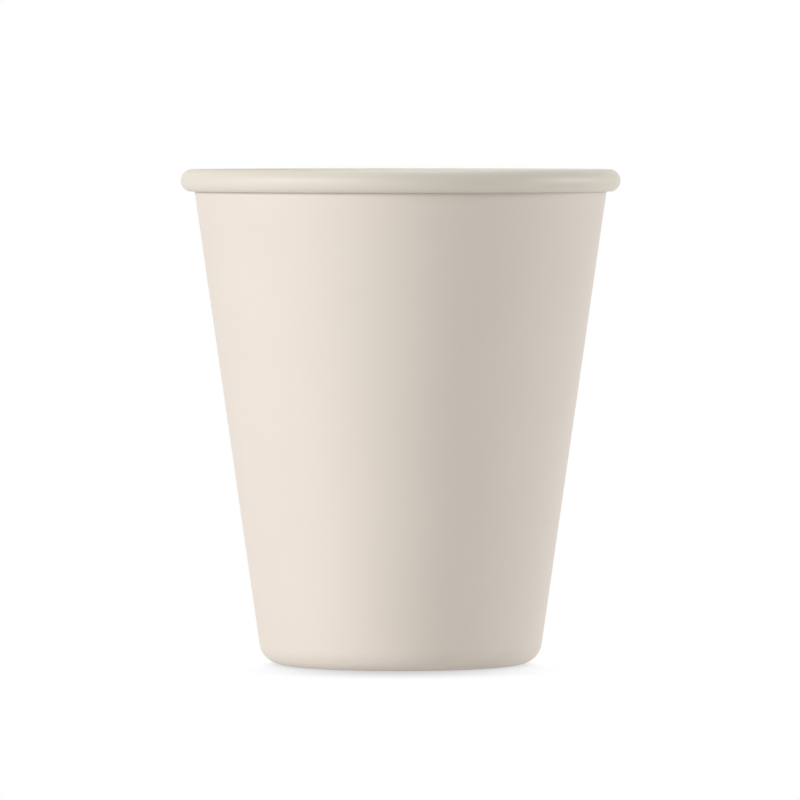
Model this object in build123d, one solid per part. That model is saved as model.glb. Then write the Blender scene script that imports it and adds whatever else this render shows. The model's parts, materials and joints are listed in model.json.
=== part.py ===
from build123d import *

import os
from math import acos, atan2, cos, degrees, pi, radians, sin, tan

# A reusable plastic cup, moulded in one piece: a tapered wall with a rolled lip, a rounded
# bottom corner, and a base that is raised inside a ring-shaped foot.
# Millimetres, +Z up. The origin is the centre of the foot, on the surface the cup stands on.
# Half of the section is drawn as (radius, height) points and turned once round the Z axis.

# Outer form
rim_diameter = 80.0
height = 90.0
base_diameter = 50.4  # where the straight side would meet the table
corner_radius = 4.2  # round the bottom, outside

# Wall and floor
wall = 1.4  # measured square to the side
floor_thickness = 1.6
floor_corner_radius = 3.0  # round the bottom, inside

# Rolled lip
lip_height = 4.1
lip_reach = 2.55  # how far the lip stands out from the wall, level with its underside
lip_thickness = 1.0  # of the roll, which is open underneath
lip_gap = 0.8  # between the roll's free edge and the wall

# Foot and the raised base inside it
foot_width = 2.2
recess_depth = 1.2
recess_slope = 30.0  # degrees that the step up to the base leans from upright

# Dimple left by the moulding gate, in the middle of the underside
gate_diameter = 5.0
gate_depth = 0.3

draft = 3.0  # degrees, on the sides of the channel in the lip and of the dimple

# Worked out from the sizes above
rim_radius = rim_diameter / 2
base_radius = base_diameter / 2
taper = atan2(rim_radius - lip_reach - base_radius, height - lip_height)
up_the_wall = Vector(sin(taper), cos(taper))
floor_top = recess_depth + floor_thickness
roll_radius = lip_height / 2
roll_centre = Vector(rim_radius - roll_radius, height - roll_radius)


def outer_radius(z):
    """Radius of the wall's outer face at height z."""
    return base_radius + z * tan(taper)


def inner_radius(z):
    """Radius of the wall's inner face at height z."""
    return outer_radius(z) - wall / cos(taper)


def lip_crest():
    """The arc that leads the inner face over into the top of the roll."""
    roll_top = roll_centre + Vector(0, roll_radius)
    corner = Vector(inner_radius(height), height)
    start = corner - up_the_wall * (roll_top.X - corner.X)
    return TangentArc(start, roll_top, tangent=up_the_wall)


def lip_edge(radius):
    """Where the roll's free edge, which runs along the wall, crosses a circle of the roll."""
    centre_from_wall = (roll_centre.X - outer_radius(roll_centre.Y)) * cos(taper)
    angle = -taper - acos((lip_gap - centre_from_wall) / radius)
    return angle, roll_centre + Vector(cos(angle), sin(angle)) * radius


def lip_roll():
    """The half round outside, the free edge, and the channel up inside the lip to the wall."""
    inside_radius = roll_radius - lip_thickness
    outside_angle, outside_corner = lip_edge(roll_radius)
    _, inside_corner = lip_edge(inside_radius)
    outside = CenterArc(roll_centre, roll_radius, 90, degrees(outside_angle) - 90)

    channel_side = roll_centre.X + inside_radius
    channel_bottom = roll_centre.Y - inside_radius * tan(pi / 8)
    channel_roof = height - wall
    roof_side = channel_side - (channel_roof - channel_bottom) * tan(radians(draft))
    channel = Polyline(
        outside_corner,
        inside_corner,
        (channel_side, channel_bottom),
        (roof_side, channel_roof),
        (outer_radius(channel_roof), channel_roof),
    )
    return outside, channel


def side_and_underside(start):
    """From under the lip down the outer face, round the foot and in to the middle of the base."""
    foot_outer = base_radius - corner_radius * tan((pi / 2 - taper) / 2)
    foot_inner = foot_outer - foot_width
    recess_radius = foot_inner - recess_depth * tan(radians(recess_slope))
    gate_radius = gate_diameter / 2
    gate_top = recess_depth + gate_depth
    side = FilletPolyline(start, (base_radius, 0), (foot_inner, 0), radius=[corner_radius])
    underside = Polyline(
        (foot_inner, 0),
        (recess_radius, recess_depth),
        (gate_radius, recess_depth),
        (gate_radius - gate_depth * tan(radians(draft)), gate_top),
        (0, gate_top),
    )
    return side, underside


def inside_face(end):
    """From the middle of the floor out to the wall and up to the lip."""
    corner = (inner_radius(floor_top), floor_top)
    return FilletPolyline((0, floor_top), corner, end, radius=[floor_corner_radius])


def cup():
    """The whole cup: its half section turned round the Z axis."""
    crest = lip_crest()
    roll, channel = lip_roll()
    side, underside = side_and_underside(channel @ 1)
    inside = inside_face(crest @ 0)
    axis = Line(underside @ 1, inside @ 0)
    half_section = make_face([crest, roll, channel, side, underside, inside, axis])
    return revolve(Plane.XZ * half_section, Axis.Z)


os.makedirs("parts", exist_ok=True)
export_step(cup(), "parts/cup.step")
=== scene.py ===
import json
from math import acos, atan2, copysign, cos, pi, radians, sin, tan, tau

import bmesh
import bpy
from bpy.props import FloatProperty, FloatVectorProperty, IntProperty, PointerProperty
from bpy.types import Operator, Panel, PropertyGroup
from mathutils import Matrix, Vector


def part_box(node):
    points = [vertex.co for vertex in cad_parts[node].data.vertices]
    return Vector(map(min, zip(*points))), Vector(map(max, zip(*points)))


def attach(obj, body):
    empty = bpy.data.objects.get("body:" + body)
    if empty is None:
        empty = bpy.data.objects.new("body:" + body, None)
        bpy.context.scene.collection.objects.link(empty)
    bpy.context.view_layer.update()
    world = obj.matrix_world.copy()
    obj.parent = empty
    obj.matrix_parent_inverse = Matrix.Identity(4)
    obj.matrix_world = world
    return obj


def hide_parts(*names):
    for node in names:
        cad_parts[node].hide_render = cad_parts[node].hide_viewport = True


bl_info = {
    "name": "Plastic cup",
    "version": (1, 0, 0),
    "blender": (4, 5, 0),
    "location": "3D View > Sidebar > Cup",
    "description": "Makes a reusable plastic cup with a rolled lip, and a plain studio for it",
    "category": "Add Mesh",
}

# Lengths are metres and angles are radians, unless a name says otherwise.

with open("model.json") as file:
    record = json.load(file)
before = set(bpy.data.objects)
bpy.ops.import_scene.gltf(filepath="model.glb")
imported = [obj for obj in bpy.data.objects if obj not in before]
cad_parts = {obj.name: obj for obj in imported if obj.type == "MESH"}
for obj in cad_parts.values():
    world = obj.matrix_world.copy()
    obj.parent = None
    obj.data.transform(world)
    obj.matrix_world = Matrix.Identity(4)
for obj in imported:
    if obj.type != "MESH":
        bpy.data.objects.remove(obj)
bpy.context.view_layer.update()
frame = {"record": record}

MM = 0.001
NODE = "cup"
BODY = "root"
SLOT = frame["record"]["materials"][0]
LID_RIM = next(mount for mount in frame["record"]["mounts"] if mount["name"] == "lid_rim")
CUP_LOW, CUP_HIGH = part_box(NODE)

# The photograph's frame, and where the cup stands in it
IMAGE_PIXELS = 800
RIM_ROW = 169.2  # the middle of the rim
AXIS_COLUMN = 400.6
SENSOR_MM = 36

FLOOR_CLEARANCE = 0.02 * MM
PAINTED_SHADOW_RISE = radians(4)  # how high above level, towards the back, the painted shadow's occlusion test aims; no lamp stands there


class CupSizes(PropertyGroup):
    """The sizes of the cup."""

    rim_diameter: FloatProperty(
        name="Rim diameter",
        description="Across the outside of the rolled lip",
        default=CUP_HIGH.x - CUP_LOW.x,
        unit="LENGTH",
    )
    height: FloatProperty(
        name="Height",
        description="From the table to the top of the lip",
        default=CUP_HIGH.z - CUP_LOW.z,
        unit="LENGTH",
    )
    base_diameter: FloatProperty(
        name="Base diameter",
        description="Where the straight side would meet the table",
        default=50.4 * MM,
        unit="LENGTH",
    )
    corner_radius: FloatProperty(
        name="Corner radius",
        description="Round at the bottom of the wall, outside",
        default=4.2 * MM,
        unit="LENGTH",
    )
    wall: FloatProperty(
        name="Wall",
        description="Thickness of the wall, square to the side",
        default=1.4 * MM,
        unit="LENGTH",
    )
    floor_thickness: FloatProperty(
        name="Floor thickness",
        description="Thickness of the floor over the raised base",
        default=1.6 * MM,
        unit="LENGTH",
    )
    floor_corner_radius: FloatProperty(
        name="Floor corner radius",
        description="Round between the floor and the wall, inside",
        default=3.0 * MM,
        unit="LENGTH",
    )
    lip_height: FloatProperty(
        name="Lip height",
        description="Height of the rolled lip",
        default=LID_RIM["dims"]["length_mm"] * MM,
        unit="LENGTH",
    )
    lip_reach: FloatProperty(
        name="Lip reach",
        description="How far the lip stands out from the wall",
        default=2.55 * MM,
        unit="LENGTH",
    )
    lip_thickness: FloatProperty(
        name="Lip thickness",
        description="Thickness of the lip's roll, which is open underneath",
        default=1.0 * MM,
        unit="LENGTH",
    )
    lip_gap: FloatProperty(
        name="Lip gap",
        description="Between the roll's free edge and the wall",
        default=0.8 * MM,
        unit="LENGTH",
    )
    foot_width: FloatProperty(
        name="Foot width",
        description="Width of the flat ring that the cup stands on",
        default=2.2 * MM,
        unit="LENGTH",
    )
    recess_depth: FloatProperty(
        name="Recess depth",
        description="How far the base is raised inside the foot",
        default=1.2 * MM,
        unit="LENGTH",
    )
    recess_slope: FloatProperty(
        name="Recess slope",
        description="How far the step up to the base leans from upright",
        default=radians(30),
        unit="ROTATION",
    )
    gate_diameter: FloatProperty(
        name="Gate diameter",
        description="Dimple that the moulding gate leaves in the middle of the underside",
        default=5.0 * MM,
        unit="LENGTH",
    )
    gate_depth: FloatProperty(
        name="Gate depth",
        description="Depth of that dimple",
        default=0.3 * MM,
        unit="LENGTH",
    )
    small_radius: FloatProperty(
        name="Small radius",
        description="Round on the small edges under the lip and under the foot",
        default=0.2 * MM,
        unit="LENGTH",
    )
    gate_edge_radius: FloatProperty(
        name="Gate edge radius",
        description="Round on the edges of the gate's dimple",
        default=0.12 * MM,
        unit="LENGTH",
    )
    facets_round: IntProperty(
        name="Facets round",
        description="Number of facets round the cup",
        default=192,
        min=16,
    )


class CupFinish(PropertyGroup):
    """The colour and surface of the plastic."""

    colour: FloatVectorProperty(
        name="Colour",
        description="Colour of the plastic",
        subtype="COLOR",
        size=3,
        min=0,
        max=1,
        default=SLOT["base_color"][:3],
    )
    # The lip's colour is partly a yellower tint and partly painted shade: it is darker than the wall's
    # so that the lip looks less lit.
    lip_tint_and_shade: FloatVectorProperty(
        name="Lip colour",
        description="Colour of the rolled lip, which looks a little deeper than the wall",
        subtype="COLOR",
        size=3,
        min=0,
        max=1,
        default=(0.78, 0.72, 0.62),
    )
    roughness: FloatProperty(
        name="Roughness",
        description="How matt the plastic is",
        subtype="FACTOR",
        min=0,
        max=1,
        default=0.5,
    )
    grain_size: FloatProperty(
        name="Grain size",
        description="Size of the grain that the mould leaves",
        default=0.22 * MM,
        unit="LENGTH",
    )
    grain_height: FloatProperty(
        name="Grain height",
        description="Height of that grain",
        default=0.006 * MM,
        unit="LENGTH",
    )


class Studio(PropertyGroup):
    """The floor, the light and the camera."""

    floor_radius: FloatProperty(
        name="Floor radius",
        description="Radius of the round floor",
        default=0.9,
        unit="LENGTH",
    )
    floor_grey: FloatProperty(
        name="Floor grey",
        description="How much of the light that falls on it the floor gives back to the cup",
        subtype="FACTOR",
        min=0,
        max=1,
        default=0.5,
    )
    floor_light: FloatProperty(
        name="Floor light",
        description="Even light that the floor gives the cup, as a share of white",
        subtype="FACTOR",
        min=0,
        max=1,
        default=0.28,
    )
    shadow_reach: FloatProperty(
        name="Shadow reach",
        description="How far from the cup its shadow on the floor fades out",
        default=25 * MM,
        unit="LENGTH",
    )
    # Gain of the painted shadow: the open share times this, clamped at 1, is the floor's white.
    shadow_edge: FloatProperty(
        name="Shadow edge",
        description="How little of the light behind the cup is hidden where the floor is white again",
        min=1,
        max=3,
        default=1.39,
    )
    room_light: FloatProperty(
        name="Room light",
        description="Brightness of the light that comes from all round, as a share of white",
        subtype="FACTOR",
        min=0,
        max=1,
        default=0.2,
    )
    front_power: FloatProperty(
        name="Front light",
        description="Power of the soft light in front on the left",
        default=6.5,
        min=0,
        unit="POWER",
    )
    left_power: FloatProperty(
        name="Left light",
        description="Power of the soft light on the left",
        default=8.5,
        min=0,
        unit="POWER",
    )
    right_power: FloatProperty(
        name="Right light",
        description="Power of the soft light on the right",
        default=9.3,
        min=0,
        unit="POWER",
    )
    top_power: FloatProperty(
        name="Top light",
        description="Power of the large soft light overhead",
        default=3.5,
        min=0,
        unit="POWER",
    )
    back_power: FloatProperty(
        name="Back light",
        description="Power of the soft light high up behind, which edges the rim",
        default=4.5,
        min=0,
        unit="POWER",
    )
    camera_distance: FloatProperty(
        name="Camera distance",
        description="From the camera to the cup's axis",
        default=1.45,
        unit="LENGTH",
    )
    camera_rise: FloatProperty(
        name="Camera rise",
        description="How far the camera is above the rim",
        default=7 * MM,
        unit="LENGTH",
    )
    lens: FloatProperty(
        name="Focal length",
        description="Focal length of the camera",
        default=358.6,
        unit="CAMERA",
    )


# The cup

ARC_FACET = 0.25 * MM  # longest facet along a round
ARC_STEP = radians(7.5)  # most that one facet turns
EDGE_ROW = 0.3 * MM  # narrow row at each end of a straight run, which keeps the run's shading straight
WALL_ROWS = 12
FLOOR_ROWS = 4


class Pen:
    """Draws half of the cup's section as one chain of edges, in the XZ plane."""

    def __init__(self, mesh, x, z, heading):
        self.mesh = mesh
        self.tip = mesh.verts.new((x, 0, z))
        self.heading = heading  # from +X towards +Z

    def straight(self, length, rows=1):
        """Goes straight on, in equal rows."""
        step = Vector((cos(self.heading), 0, sin(self.heading))) * (length / rows)
        for _ in range(rows):
            made = bmesh.ops.extrude_vert_indiv(self.mesh, verts=[self.tip])
            self.tip = made["verts"][0]
            self.tip.co += step

    def long_straight(self, length, rows):
        """Goes straight on, with a narrow row at each end."""
        self.straight(EDGE_ROW)
        self.straight(length - 2 * EDGE_ROW, rows)
        self.straight(EDGE_ROW)

    def turn(self, radius, angle):
        """Goes round an arc, to the left where the angle is positive and to the right where it isn't."""
        to_centre = Vector((-sin(self.heading), 0, cos(self.heading))) * copysign(radius, angle)
        made = bmesh.ops.spin(
            self.mesh,
            geom=[self.tip],
            cent=self.tip.co + to_centre,
            axis=(0, 1, 0),
            angle=-angle,
            steps=round(max(abs(angle) / ARC_STEP, radius * abs(angle) / ARC_FACET)),
        )
        self.tip = next(item for item in made["geom_last"] if isinstance(item, bmesh.types.BMVert))
        self.heading += angle


class Section:
    """What is worked out from the cup's sizes."""

    def __init__(self, sizes):
        self.rim_radius = sizes.rim_diameter / 2
        self.base_radius = sizes.base_diameter / 2
        lean_run = self.rim_radius - sizes.lip_reach - self.base_radius
        self.lean = atan2(lean_run, sizes.height - sizes.lip_height)
        self.corner_turn = pi / 2 - self.lean
        self.floor_top = sizes.recess_depth + sizes.floor_thickness
        self.roll_radius = sizes.lip_height / 2
        self.roll_x = self.rim_radius - self.roll_radius
        self.roll_z = sizes.height - self.roll_radius

    def outer_radius(self, z):
        """Radius of the wall's outer face at height z."""
        return self.base_radius + z * tan(self.lean)

    def inner_radius(self, z, wall):
        """Radius of the wall's inner face at height z."""
        return self.outer_radius(z) - wall / cos(self.lean)


def draw_inside(pen, sizes, section):
    """From the middle of the floor, up the inner face and over to the top of the roll."""
    corner = sizes.floor_corner_radius * tan(section.corner_turn / 2)
    crest = section.roll_x - section.inner_radius(sizes.height, sizes.wall)
    side = (sizes.height - section.floor_top) / cos(section.lean)
    floor = section.inner_radius(section.floor_top, sizes.wall) - corner
    pen.straight(floor - EDGE_ROW, FLOOR_ROWS)
    pen.straight(EDGE_ROW)
    pen.turn(sizes.floor_corner_radius, section.corner_turn)
    pen.long_straight(side - corner - crest, WALL_ROWS)
    pen.turn(crest / tan(section.corner_turn / 2), -section.corner_turn)


def draw_roll(pen, sizes, section):
    """Round the lip to its free edge, which runs along the wall, and back up inside the lip."""
    edge = sizes.small_radius
    inside_radius = section.roll_radius - sizes.lip_thickness
    centre_to_wall = (section.roll_x - section.outer_radius(section.roll_z)) * cos(section.lean)
    across = sizes.lip_gap + edge - centre_to_wall
    outer_fall = acos(across / (section.roll_radius - edge))
    inner_fall = acos(across / (inside_radius + edge))
    length = across * (tan(outer_fall) - tan(inner_fall))
    pen.turn(section.roll_radius, -pi / 2 - section.lean - outer_fall)
    pen.turn(edge, outer_fall - pi)
    pen.straight(length)
    pen.turn(edge, -inner_fall)
    pen.turn(inside_radius, section.lean + inner_fall)


def draw_channel_roof(pen, sizes, section):
    """Over the top of the channel inside the lip, to the wall."""
    edge = sizes.small_radius
    roof = sizes.height - sizes.wall
    width = pen.tip.co.x - section.outer_radius(roof)
    pen.straight(roof - edge - pen.tip.co.z)
    pen.turn(edge, pi / 2)
    pen.straight(width - edge - edge * tan(section.corner_turn / 2))
    pen.turn(edge, section.corner_turn)


def draw_outside(pen, sizes, section):
    """Down the outer face and round the foot to the raised base."""
    edge = sizes.small_radius
    corner = sizes.corner_radius * tan(section.corner_turn / 2)
    step_turn = pi / 2 - sizes.recess_slope
    step_end = edge * tan(step_turn / 2)
    pen.long_straight(pen.tip.co.z / cos(section.lean) - corner, WALL_ROWS)
    pen.turn(sizes.corner_radius, -section.corner_turn)
    pen.long_straight(sizes.foot_width - step_end, 1)
    pen.turn(edge, -step_turn)
    pen.straight(sizes.recess_depth / cos(sizes.recess_slope) - 2 * step_end)
    pen.turn(edge, step_turn)


def draw_base(pen, sizes):
    """In under the base to the middle of the gate's dimple."""
    edge = sizes.gate_edge_radius
    gate_radius = sizes.gate_diameter / 2
    pen.straight(EDGE_ROW)
    pen.straight(pen.tip.co.x - gate_radius - edge - EDGE_ROW, FLOOR_ROWS)
    pen.straight(EDGE_ROW)
    pen.turn(edge, -pi / 2)
    pen.straight(sizes.gate_depth - 2 * edge)
    pen.turn(edge, pi / 2)
    pen.straight(EDGE_ROW)
    pen.straight(pen.tip.co.x)


def turn_section(mesh, facets_round):
    """Turns the section once round the Z axis, and closes the seam and the poles."""
    bmesh.ops.spin(
        mesh,
        geom=mesh.verts[:] + mesh.edges[:],
        cent=(0, 0, 0),
        axis=(0, 0, 1),
        angle=tau,
        steps=facets_round,
        use_merge=True,
    )
    bmesh.ops.remove_doubles(mesh, verts=mesh.verts, dist=0.001 * MM)
    bmesh.ops.recalc_face_normals(mesh, faces=mesh.faces)
    for face in mesh.faces:
        face.smooth = True
    if not all(edge.is_manifold for edge in mesh.edges):
        raise RuntimeError("The cup's mesh isn't closed: its sizes don't fit each other")


def new_piece(name, mesh):
    """Puts a finished bmesh into the scene as an object at the origin."""
    data = bpy.data.meshes.new(name)
    mesh.to_mesh(data)
    mesh.free()
    piece = bpy.data.objects.new(name, data)
    bpy.context.scene.collection.objects.link(piece)
    return piece


def cup_piece(sizes):
    """The cup, as one closed mesh."""
    section = Section(sizes)
    mesh = bmesh.new()
    pen = Pen(mesh, 0, section.floor_top, 0)
    draw_inside(pen, sizes, section)
    draw_roll(pen, sizes, section)
    draw_channel_roof(pen, sizes, section)
    draw_outside(pen, sizes, section)
    draw_base(pen, sizes)
    turn_section(mesh, sizes.facets_round)
    return new_piece("moulded_cup", mesh)


# Materials


def new_material(name):
    """A material with an empty node tree, and its output node."""
    material = bpy.data.materials.new(name)
    material.use_nodes = True
    material.node_tree.nodes.clear()
    return material, material.node_tree, material.node_tree.nodes.new("ShaderNodeOutputMaterial")


def node(tree, kind, settings=None, **inputs):
    """A new node with its settings and inputs; a socket given as an input is linked."""
    made = tree.nodes.new(kind)
    for name, value in (settings or {}).items():
        setattr(made, name, value)
    for name, value in inputs.items():
        socket = made.inputs[name.replace("_", " ")]
        if isinstance(value, bpy.types.NodeSocket):
            tree.links.new(value, socket)
        else:
            socket.default_value = value
    return made


def noise(tree, place, feature_size, detail=2.0):
    """The height, from 0 to 1, of a noise whose features have that size."""
    made = node(
        tree,
        "ShaderNodeTexNoise",
        Vector=place,
        Scale=1 / feature_size,
        Detail=detail,
        Roughness=0.5,
    )
    return made.outputs["Fac"]


def spread(tree, value, low, high):
    """A noise spread between two values."""
    made = node(
        tree,
        "ShaderNodeMapRange",
        Value=value,
        From_Min=0.25,
        From_Max=0.75,
        To_Min=low,
        To_Max=high,
    )
    return made.outputs["Result"]


CLOUD_SIZE = 18 * MM
CLOUD_DEPTH = 0.012  # share by which the colour clouds, either way
LIP_SHADE_FADE = 0.8 * MM  # height over which the wall's colour turns into the lip's, which holds painted shade
ROUGHNESS_SPREAD = 0.03
SKIN_WAVE_SIZE = 5 * MM
SKIN_WAVE_HEIGHT = 0.004 * MM


def wall_colour_and_lip_shade(tree, place, finish, lip_bottom):
    """The wall's colour, and above it the lip's colour, which is darker than the wall's as painted shade
    and a little yellower.
    """
    height = node(tree, "ShaderNodeSeparateXYZ", Vector=place).outputs["Z"]
    lip_shade_mask = node(
        tree,
        "ShaderNodeMapRange",
        Value=height,
        From_Min=lip_bottom - LIP_SHADE_FADE / 2,
        From_Max=lip_bottom + LIP_SHADE_FADE / 2,
    )
    ramp = node(tree, "ShaderNodeValToRGB", Fac=lip_shade_mask.outputs["Result"])
    ramp.color_ramp.elements[0].color = (*finish.colour, 1)
    ramp.color_ramp.elements[1].color = (*finish.lip_tint_and_shade, 1)
    return ramp.outputs["Color"]


def plastic_material(finish, sizes):
    """Fine matt moulded plastic, coloured all through."""
    material, tree, output = new_material("moulded_plastic")
    place = node(tree, "ShaderNodeTexCoord").outputs["Object"]
    clouds = noise(tree, place, CLOUD_SIZE, 3.0)
    # The colour carries painted shade: above the wall, the lip is darker.
    colour = node(
        tree,
        "ShaderNodeHueSaturation",
        Color=wall_colour_and_lip_shade(tree, place, finish, sizes.height - sizes.lip_height),
        Value=spread(tree, clouds, 1 - CLOUD_DEPTH, 1 + CLOUD_DEPTH),
    )
    skin_wave = node(
        tree,
        "ShaderNodeBump",
        Height=noise(tree, place, SKIN_WAVE_SIZE),
        Distance=SKIN_WAVE_HEIGHT,
    )
    grain = node(
        tree,
        "ShaderNodeBump",
        Height=noise(tree, place, finish.grain_size, 3.0),
        Distance=finish.grain_height,
        Normal=skin_wave.outputs["Normal"],
    )
    rough = spread(
        tree,
        noise(tree, place, 2 * finish.grain_size),
        finish.roughness - ROUGHNESS_SPREAD,
        finish.roughness + ROUGHNESS_SPREAD,
    )
    shader = node(
        tree,
        "ShaderNodeBsdfPrincipled",
        Base_Color=colour.outputs["Color"],
        Roughness=rough,
        Normal=grain.outputs["Normal"],
        IOR=1.49,
    )
    tree.links.new(shader.outputs["BSDF"], output.inputs["Surface"])
    return material


def larger(tree, first, second):
    """The larger of two values."""
    made = node(tree, "ShaderNodeMath", {"operation": "MAXIMUM"})
    tree.links.new(first, made.inputs[0])
    tree.links.new(second, made.inputs[1])
    return made.outputs[0]


def seen_directly(tree):
    """1 for rays from the camera, and for those that gloss or glass sends on, otherwise 0."""
    rays = node(tree, "ShaderNodeLightPath").outputs
    sent_on = larger(tree, rays["Is Glossy Ray"], rays["Is Transmission Ray"])
    return larger(tree, rays["Is Camera Ray"], sent_on)


def mixed(tree, factor, first, second, output):
    """Mixes two shaders into the output."""
    made = node(tree, "ShaderNodeMixShader")
    tree.links.new(factor, made.inputs[0])
    tree.links.new(first, made.inputs[1])
    tree.links.new(second, made.inputs[2])
    tree.links.new(made.outputs[0], output.inputs["Surface"])


def painted_contact_shadow(tree, studio):
    """How white the floor is, with a painted shadow: an occlusion test aimed low towards the back dims
    the floor's white where the cup is in the way, as a low wide light behind it would.
    """
    low_and_behind = node(tree, "ShaderNodeCombineXYZ", Y=cos(PAINTED_SHADOW_RISE), Z=sin(PAINTED_SHADOW_RISE))
    open_share = node(
        tree,
        "ShaderNodeAmbientOcclusion",
        {"samples": 16},
        Distance=studio.shadow_reach,
        Normal=low_and_behind.outputs[0],
    )
    white = node(tree, "ShaderNodeMath", {"operation": "MULTIPLY", "use_clamp": True})
    tree.links.new(open_share.outputs["AO"], white.inputs[0])
    white.inputs[1].default_value = studio.shadow_edge
    return white.outputs[0]


def floor_material(studio):
    """Pale and matt, with an even glow that lights the cup; to the eye it is white except where the
    painted shadow darkens it.
    """
    material, tree, output = new_material("studio_floor")
    bounce = (studio.floor_grey,) * 3
    matt = node(tree, "ShaderNodeBsdfDiffuse", Color=(*bounce, 1))
    even_light = node(tree, "ShaderNodeEmission", Color=(1, 1, 1, 1), Strength=studio.floor_light)
    given_back = node(tree, "ShaderNodeAddShader")
    tree.links.new(matt.outputs[0], given_back.inputs[0])
    tree.links.new(even_light.outputs[0], given_back.inputs[1])
    # The floor's colour to the eye is white with a painted shadow in it.
    shown = node(tree, "ShaderNodeEmission", Color=painted_contact_shadow(tree, studio), Strength=1)
    mixed(tree, seen_directly(tree), given_back.outputs[0], shown.outputs[0], output)
    return material


# The studio


class Softbox:
    """A soft rectangular light that faces the cup."""

    def __init__(self, name, azimuth, elevation, distance, width, height):
        self.name = name
        self.azimuth = radians(azimuth)  # from the camera's side, towards the right
        self.elevation = radians(elevation)
        self.distance = distance
        self.width = width
        self.height = height

    def build(self, power, target):
        """Adds the light to the scene."""
        data = bpy.data.lights.new(self.name, "AREA")
        data.shape = "RECTANGLE"
        data.size = self.width
        data.size_y = self.height
        data.energy = power
        light = bpy.data.objects.new(self.name, data)
        reach = cos(self.elevation)
        away = Vector((sin(self.azimuth) * reach, -cos(self.azimuth) * reach, sin(self.elevation)))
        light.location = target + away * self.distance
        light.rotation_euler = away.to_track_quat("Z", "Y").to_euler()
        light.visible_camera = False
        bpy.context.scene.collection.objects.link(light)


FRONT_LIGHT = Softbox("front_light", -35, 13, 1.5, 0.4, 0.45)
LEFT_LIGHT = Softbox("left_light", -65, 13, 1.5, 0.4, 0.45)
RIGHT_LIGHT = Softbox("right_light", 100, 9, 1.5, 0.5, 0.45)
TOP_LIGHT = Softbox("top_light", 0, 89, 1.5, 1.2, 1.2)
BACK_LIGHT = Softbox("back_light", 180, 60, 1.5, 0.4, 0.8)


def build_floor(studio):
    """A round floor, a hair below the cup's foot, so that the two faces don't flicker."""
    mesh = bmesh.new()
    bmesh.ops.create_circle(mesh, cap_ends=True, radius=studio.floor_radius, segments=128)
    bmesh.ops.translate(mesh, verts=mesh.verts, vec=(0, 0, CUP_LOW.z - FLOOR_CLEARANCE))
    floor = new_piece("studio_floor", mesh)
    floor.data.materials.append(floor_material(studio))


def build_world(studio):
    """White to the eye, and a dim even light from all round."""
    world = bpy.data.worlds.new("studio_room")
    world.use_nodes = True
    tree = world.node_tree
    tree.nodes.clear()
    output = tree.nodes.new("ShaderNodeOutputWorld")
    grey = (studio.room_light,) * 3
    room = node(tree, "ShaderNodeBackground", Color=(*grey, 1))
    white = node(tree, "ShaderNodeBackground", Color=(1, 1, 1, 1))
    mixed(tree, seen_directly(tree), room.outputs[0], white.outputs[0], output)
    bpy.context.scene.world = world


def build_camera(studio):
    """A long lens, just above the rim and pitched down a little."""
    data = bpy.data.cameras.new("camera")
    data.sensor_width = SENSOR_MM
    data.lens = studio.lens
    data.clip_end = 10
    focal_pixels = studio.lens / SENSOR_MM * IMAGE_PIXELS
    down_to_rim = atan2(studio.camera_rise, studio.camera_distance)
    pitch = down_to_rim + atan2(IMAGE_PIXELS / 2 - RIM_ROW, focal_pixels)
    aside = (AXIS_COLUMN - IMAGE_PIXELS / 2) / focal_pixels * studio.camera_distance
    camera = bpy.data.objects.new("camera", data)
    camera.location = (-aside, -studio.camera_distance, CUP_HIGH.z + studio.camera_rise)
    camera.rotation_euler = (pi / 2 - pitch, 0, 0)
    bpy.context.scene.collection.objects.link(camera)
    bpy.context.scene.camera = camera


# Operators and panel


class CUP_OT_cup(Operator):
    """Makes the cup and its plastic"""

    bl_idname = "cup.make_cup"
    bl_label = "Make cup"

    def execute(self, context):
        sizes = context.scene.cup_sizes
        cup = cup_piece(sizes)
        cup.data.materials.append(plastic_material(context.scene.cup_finish, sizes))
        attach(cup, BODY)
        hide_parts(NODE)
        return {"FINISHED"}


class CUP_OT_studio(Operator):
    """Makes the floor, the lights and the camera"""

    bl_idname = "cup.make_studio"
    bl_label = "Make studio"

    def execute(self, context):
        studio = context.scene.cup_studio
        middle = (CUP_LOW + CUP_HIGH) / 2
        context.scene.view_settings.view_transform = "Standard"
        build_floor(studio)
        build_world(studio)
        build_camera(studio)
        FRONT_LIGHT.build(studio.front_power, middle)
        LEFT_LIGHT.build(studio.left_power, middle)
        RIGHT_LIGHT.build(studio.right_power, middle)
        TOP_LIGHT.build(studio.top_power, middle)
        BACK_LIGHT.build(studio.back_power, middle)
        return {"FINISHED"}


class CUP_PT_panel(Panel):
    """Lists the cup's sizes, its finish and its studio"""

    bl_idname = "CUP_PT_panel"
    bl_label = "Plastic cup"
    bl_space_type = "VIEW_3D"
    bl_region_type = "UI"
    bl_category = "Cup"

    def draw(self, context):
        steps = (
            (CUP_OT_cup, (context.scene.cup_sizes, context.scene.cup_finish)),
            (CUP_OT_studio, (context.scene.cup_studio,)),
        )
        for operator, groups in steps:
            box = self.layout.box()
            for group in groups:
                for name in group.bl_rna.properties.keys():
                    if name not in ("rna_type", "name"):
                        box.prop(group, name)
            box.operator(operator.bl_idname)


CLASSES = (CupSizes, CupFinish, Studio, CUP_OT_cup, CUP_OT_studio, CUP_PT_panel)


def register():
    for each in CLASSES:
        bpy.utils.register_class(each)
    bpy.types.Scene.cup_sizes = PointerProperty(type=CupSizes)
    bpy.types.Scene.cup_finish = PointerProperty(type=CupFinish)
    bpy.types.Scene.cup_studio = PointerProperty(type=Studio)


def unregister():
    del bpy.types.Scene.cup_studio
    del bpy.types.Scene.cup_finish
    del bpy.types.Scene.cup_sizes
    for each in reversed(CLASSES):
        bpy.utils.unregister_class(each)


def main():
    register()
    bpy.ops.cup.make_cup()
    bpy.ops.cup.make_studio()


if __name__ == "__main__":
    main()
